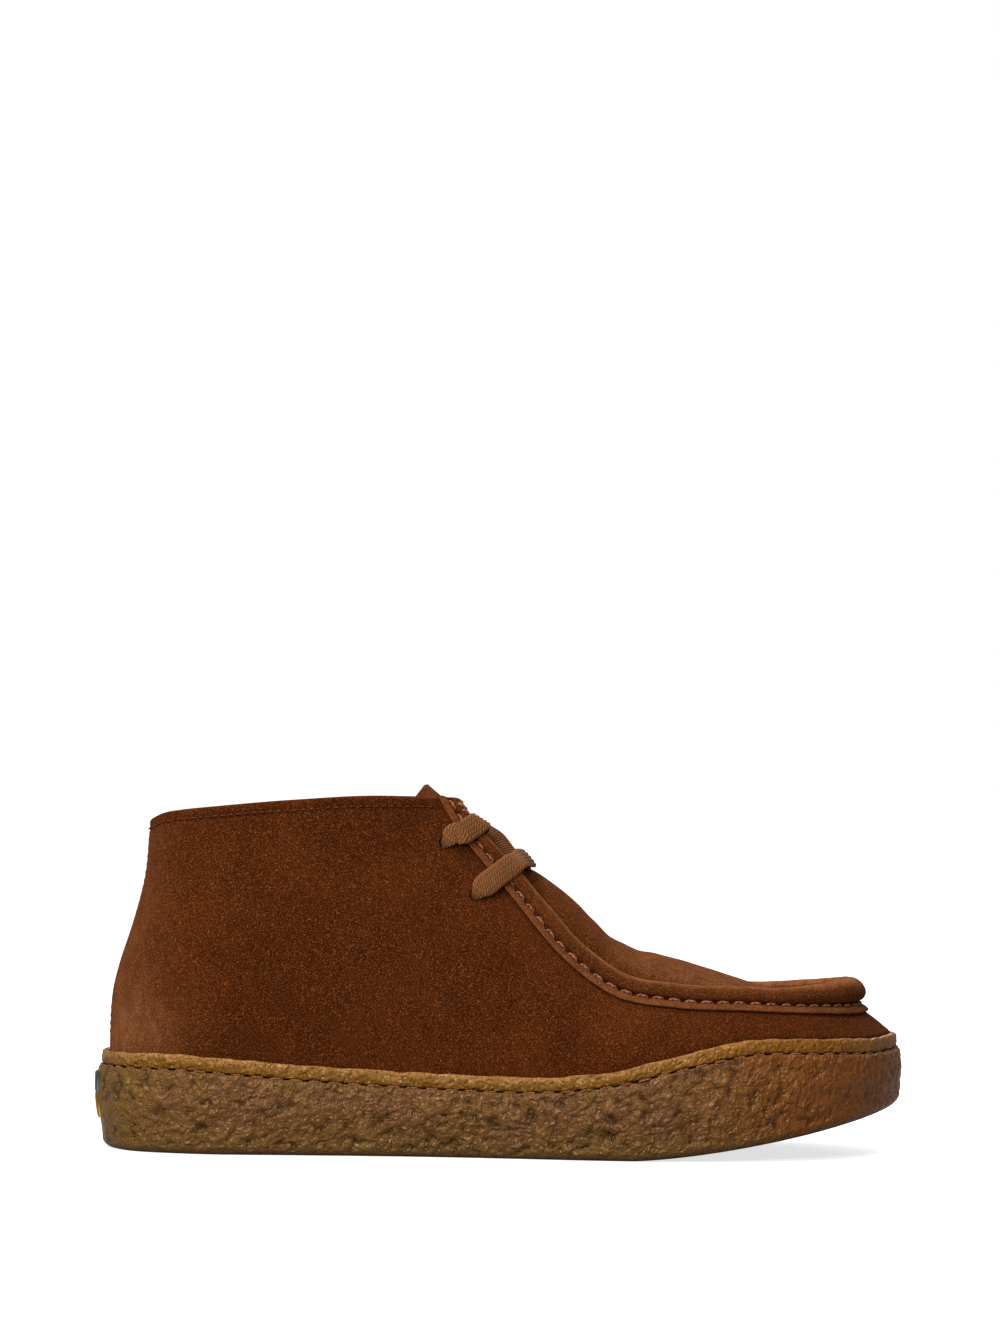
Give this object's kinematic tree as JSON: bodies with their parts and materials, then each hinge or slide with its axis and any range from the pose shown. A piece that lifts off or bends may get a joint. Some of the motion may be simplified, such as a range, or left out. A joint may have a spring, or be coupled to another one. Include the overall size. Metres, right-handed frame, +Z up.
{
  "type": "ankle boot",
  "caption": "Suede ankle boot with a raised moccasin seam round its apron, a flat lace through two pairs of eyelets and a crepe-textured rubber cup sole with an amber band.",
  "frame": {"origin": "on the floor under the middle of the sole's length and width", "axes": "+X towards the toe, +Y towards the inner side of the foot, +Z up"},
  "size_m": [0.3, 0.112, 0.1357],
  "materials": {
    "crepe_rubber": "brown crepe rubber, crinkled and half glossy",
    "amber_rubber": "amber rubber, smooth and glossy",
    "insole_leather": "smooth tan leather",
    "upper_suede": "dark brown suede with a short nap",
    "apron_suede": "brown suede with a short nap",
    "seam_suede": "brown suede, folded",
    "lace_cotton": "flat woven brown cotton"
  },
  "bodies": {
    "root": {"outsole": "crepe_rubber", "sole_band": "amber_rubber", "insole": "insole_leather", "upper": "upper_suede", "apron_tongue": "apron_suede", "raised_seam": "seam_suede", "lace": "lace_cotton"}
  },
  "joints": []
}
